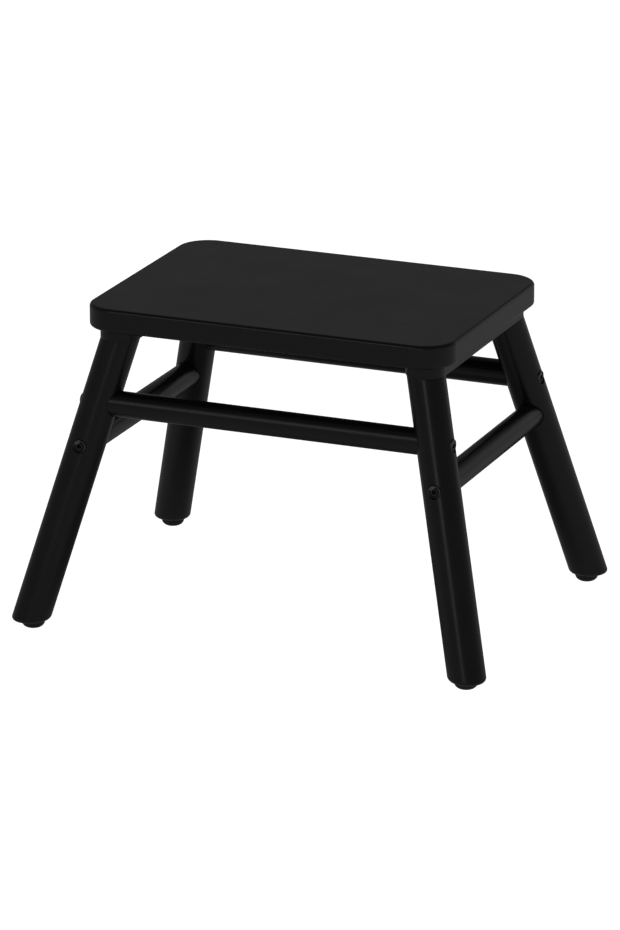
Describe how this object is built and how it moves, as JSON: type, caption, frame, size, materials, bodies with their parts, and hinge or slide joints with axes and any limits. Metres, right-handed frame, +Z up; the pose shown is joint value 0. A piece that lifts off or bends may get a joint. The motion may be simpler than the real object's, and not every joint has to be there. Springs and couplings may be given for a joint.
{
  "type": "step stool",
  "caption": "Low rectangular wooden step stool with a rounded board on splayed round legs tied by bolted round stretchers, standing on small glides.",
  "frame": {"origin": "on the floor, under the middle of the board", "axes": "+Z up, +X along the long side to the right, -Y towards the front"},
  "size_m": [0.3992, 0.3052, 0.26],
  "materials": {
    "black_lacquer": "satin black lacquer over close-grained hardwood",
    "bolt_steel": "dark zinc-plated steel, satin",
    "screw_steel": "bright zinc-plated steel",
    "sleeve_brass": "machined",
    "dowel_beech": "bare beech",
    "glide_plastic": "moulded black plastic, fine texture"
  },
  "bodies": {
    "root": {"back_left_glide": "glide_plastic", "back_left_leg": "black_lacquer", "back_right_glide": "glide_plastic", "back_right_leg": "black_lacquer", "back_stretcher": "black_lacquer", "back_stretcher_bolts": "bolt_steel", "back_stretcher_sleeves": "sleeve_brass", "front_left_glide": "glide_plastic", "front_left_leg": "black_lacquer", "front_right_glide": "glide_plastic", "front_right_leg": "black_lacquer", "front_stretcher": "black_lacquer", "front_stretcher_bolts": "bolt_steel", "front_stretcher_sleeves": "sleeve_brass", "glide_nails": "screw_steel", "left_board_screws": "screw_steel", "left_cleat": "black_lacquer", "left_leg_dowels": "dowel_beech", "left_leg_screws": "screw_steel", "left_stretcher": "black_lacquer", "left_stretcher_bolts": "bolt_steel", "left_stretcher_sleeves": "sleeve_brass", "right_board_screws": "screw_steel", "right_cleat": "black_lacquer", "right_leg_dowels": "dowel_beech", "right_leg_screws": "screw_steel", "right_stretcher": "black_lacquer", "right_stretcher_bolts": "bolt_steel", "right_stretcher_sleeves": "sleeve_brass", "seat_board": "black_lacquer"}
  },
  "joints": []
}
